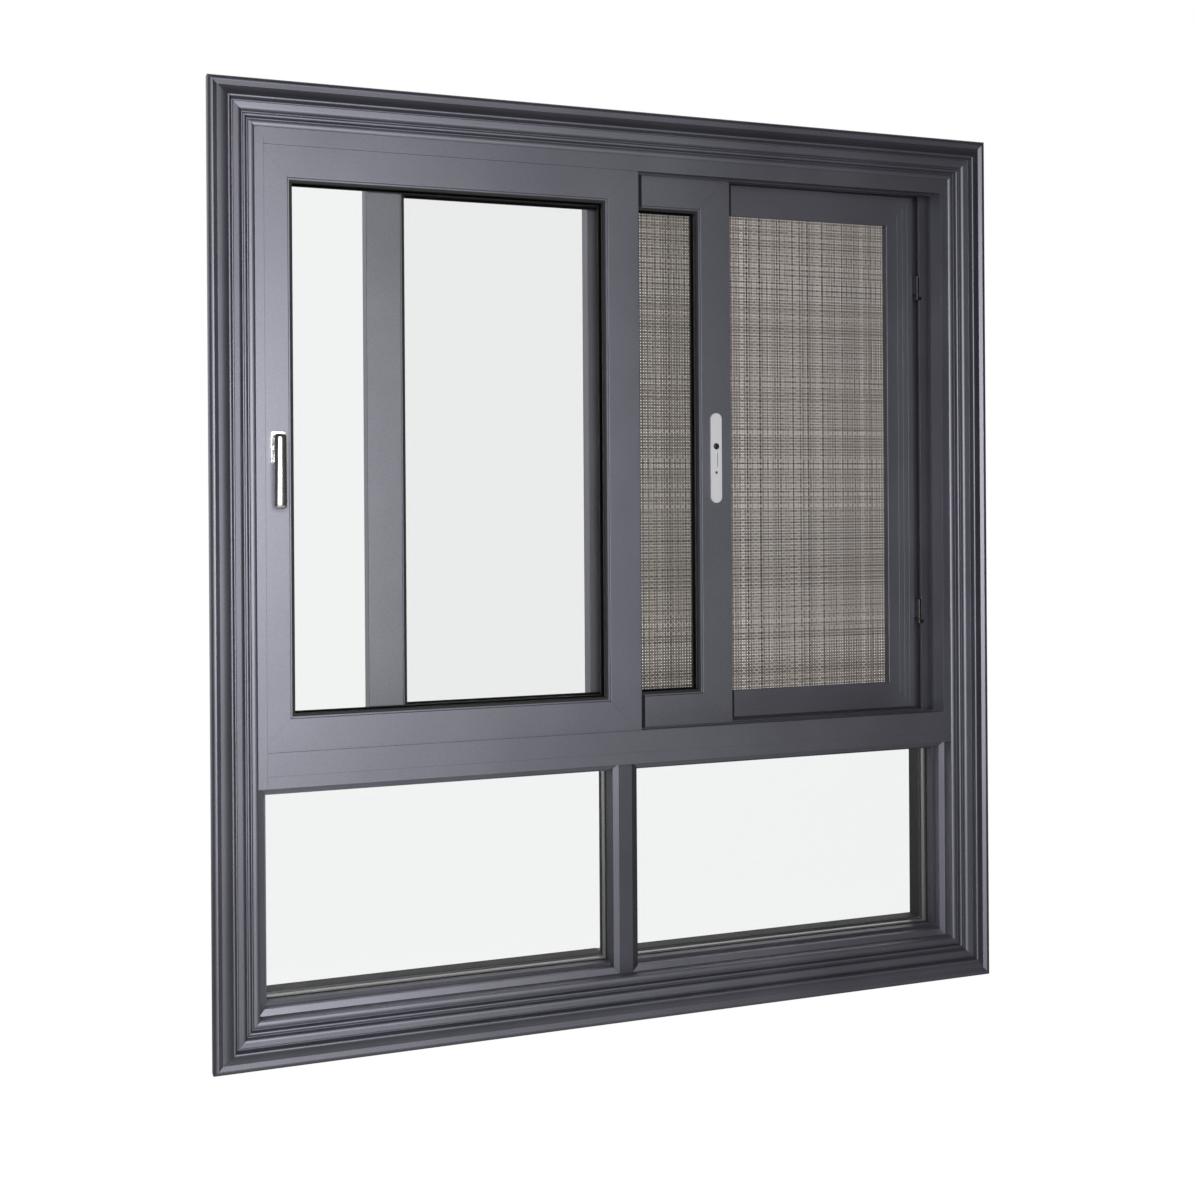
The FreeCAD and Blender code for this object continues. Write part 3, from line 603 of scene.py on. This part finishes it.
def neck_rings(low, high):
    """The neck from the base plate to the middle of the grip, wider where it meets the grip."""
    depth = high[1] - low[1] - GRIP_THICKNESS / 2
    height = high[2] - NECK_BELOW_TOP
    rings = []
    for part in NECK_STEPS:
        flare = NECK_FLARE * max(0.0, (part - NECK_FLARE_START) / (1 - NECK_FLARE_START)) ** 2
        centre = Vector(((low[0] + high[0]) / 2, high[1] - depth * part, height))
        rings.append(oval(centre, Vector((NECK_HALF_WIDTH + flare * NECK_FLARE_ACROSS, 0, 0)),
                          Vector((0, 0, NECK_HALF_HEIGHT + flare))))
    return rings


def cast_lever():
    """The lever's cast form: a crowned oval that shows the lamp as one bright line down its face."""
    low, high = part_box("handle_lever")
    vertices, faces = [], []
    for rings in (grip_rings(low, high), neck_rings(low, high)):
        faces += skin(rings, len(vertices))
        vertices += [point for ring in rings for point in ring]
    lever = new_piece("cast_lever", vertices, faces, finishes["handle_chrome"])
    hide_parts("handle_lever")


def add_lock_faces():
    """The black face of the key cylinder, the small release hole and the slot between them."""
    vertices, faces = [], []
    for x, z, half_width, half_height, back, front in LOCK_FACES:
        rings = [oval(Vector((x, front + (back - front) * set_back, z)),
                      Vector((half_width * part, 0, 0)), Vector((0, 0, half_height * part)))
                 for set_back, part in LOCK_FACE_RINGS]
        faces += skin(rings, len(vertices))
        vertices += [point for ring in rings for point in ring]
    new_piece("lock_faces", vertices, faces, finishes["hinge_black"])


def make_camera():
    """The photograph's camera, level but for a slight roll."""
    data = bpy.data.cameras.new("camera")
    data.lens = CAMERA_LENS
    data.sensor_width = CAMERA_SENSOR
    data.shift_y = CAMERA_SHIFT_Y
    data.clip_end = CAMERA_CLIP_END
    camera = bpy.data.objects.new("camera", data)
    bpy.context.scene.collection.objects.link(camera)
    turn = Matrix.Rotation(-math.radians(CAMERA_TURN), 4, "Z")
    tilt = Matrix.Rotation(math.radians(90), 4, "X")
    roll = Matrix.Rotation(-math.radians(CAMERA_ROLL), 4, "Z")
    camera.matrix_world = Matrix.Translation(CAMERA_PLACE) @ turn @ tilt @ roll
    bpy.context.scene.camera = camera


def area_lamp(name, place, target, size, power):
    """A round lamp aimed at a target, unseen by the camera and through the glass."""
    data = bpy.data.lights.new(name, "AREA")
    data.shape = "DISK"
    data.size = size
    data.energy = power
    lamp = bpy.data.objects.new(name, data)
    lamp.visible_camera = False
    lamp.visible_transmission = False
    bpy.context.scene.collection.objects.link(lamp)
    aim = (Vector(target) - Vector(place)).to_track_quat("-Z", "Y")
    lamp.matrix_world = Matrix.Translation(place) @ aim.to_matrix().to_4x4()


def looking_through(tree, path, bounced):
    """1 where the camera looks straight through glass, 0 once the light has bounced off something."""
    through = add(tree, "ShaderNodeMath", {0: path.outputs["Is Transmission Ray"], 1: bounced},
                  operation="SUBTRACT", use_clamp=True)
    return through.outputs[0]


def make_world():
    """A white backdrop behind the window, for the camera, glass and metal; a dim room elsewhere."""
    world = bpy.data.worlds.new("studio")
    world.use_nodes = True
    tree = world.node_tree
    tree.nodes.clear()
    path = add(tree, "ShaderNodeLightPath")
    heading = add(tree, "ShaderNodeSeparateXYZ",
                  {"Vector": add(tree, "ShaderNodeTexCoord").outputs["Generated"]})
    behind = add(tree, "ShaderNodeMath", {0: heading.outputs["Y"]}, operation="GREATER_THAN")
    behind.inputs[1].default_value = BACKDROP_HEADING
    mirrored = add(tree, "ShaderNodeMath", {0: path.outputs["Is Glossy Ray"], 1: behind.outputs[0]},
                   operation="MULTIPLY")
    seen = add(tree, "ShaderNodeMath", {0: path.outputs["Is Camera Ray"], 1: mirrored.outputs[0]},
               operation="MAXIMUM")
    white = add(tree, "ShaderNodeBackground", Color=(1, 1, 1, 1), Strength=1.0)
    beyond = add(tree, "ShaderNodeBackground", Color=linear(PALE_BEYOND_GLASS), Strength=1.0)
    room = add(tree, "ShaderNodeBackground", Color=linear("#f4f4f8"), Strength=ROOM_LEVEL)
    plain = add(tree, "ShaderNodeMixShader", {"Fac": seen.outputs[0], 1: room.outputs[0],
                                              2: white.outputs[0]})
    through = looking_through(tree, path, bounced_light(tree, path))
    mix = add(tree, "ShaderNodeMixShader", {"Fac": through, 1: plain.outputs[0], 2: beyond.outputs[0]})
    add(tree, "ShaderNodeOutputWorld", {"Surface": mix.outputs[0]})
    bpy.context.scene.world = world


def make_floor():
    """A pale floor a sill's height below the window; the camera sees it as white as the backdrop."""
    mesh = bpy.data.meshes.new("floor")
    z = cad_box[0][2] - FLOOR_DROP
    corners = [(-FLOOR_REACH, -FLOOR_REACH, z), (FLOOR_REACH, -FLOOR_REACH, z),
               (FLOOR_REACH, FLOOR_REACH, z), (-FLOOR_REACH, FLOOR_REACH, z)]
    mesh.from_pydata(corners, [], [(0, 1, 2, 3)])
    material, tree, _ = new_material("pale_floor")
    pale = add(tree, "ShaderNodeBsdfPrincipled", Base_Color=linear("#e6e6e6"), Roughness=0.8)
    white = add(tree, "ShaderNodeEmission", Color=(1, 1, 1, 1), Strength=1.0)
    beyond = add(tree, "ShaderNodeEmission", Color=linear(PALE_BEYOND_GLASS), Strength=1.0)
    path = add(tree, "ShaderNodeLightPath")
    seen = add(tree, "ShaderNodeMixShader", {"Fac": path.outputs["Is Camera Ray"],
                                             1: pale.outputs[0], 2: white.outputs[0]})
    through = looking_through(tree, path, bounced_light(tree, path))
    mix = add(tree, "ShaderNodeMixShader", {"Fac": through, 1: seen.outputs[0], 2: beyond.outputs[0]})
    finish_material(tree, mix.outputs["Shader"])
    mesh.materials.append(material)
    floor = bpy.data.objects.new("floor", mesh)
    bpy.context.scene.collection.objects.link(floor)


dress_nodes()
weave_screen()
add_painted_shade_strips()
add_sash_lips_and_shade_liners()
cast_lever()
add_lock_faces()
make_camera()
make_world()
make_floor()
area_lamp("key", LAMP_PLACE, LAMP_AIM, LAMP_SIZE, LAMP_POWER)
bpy.context.scene.view_settings.view_transform = "Standard"
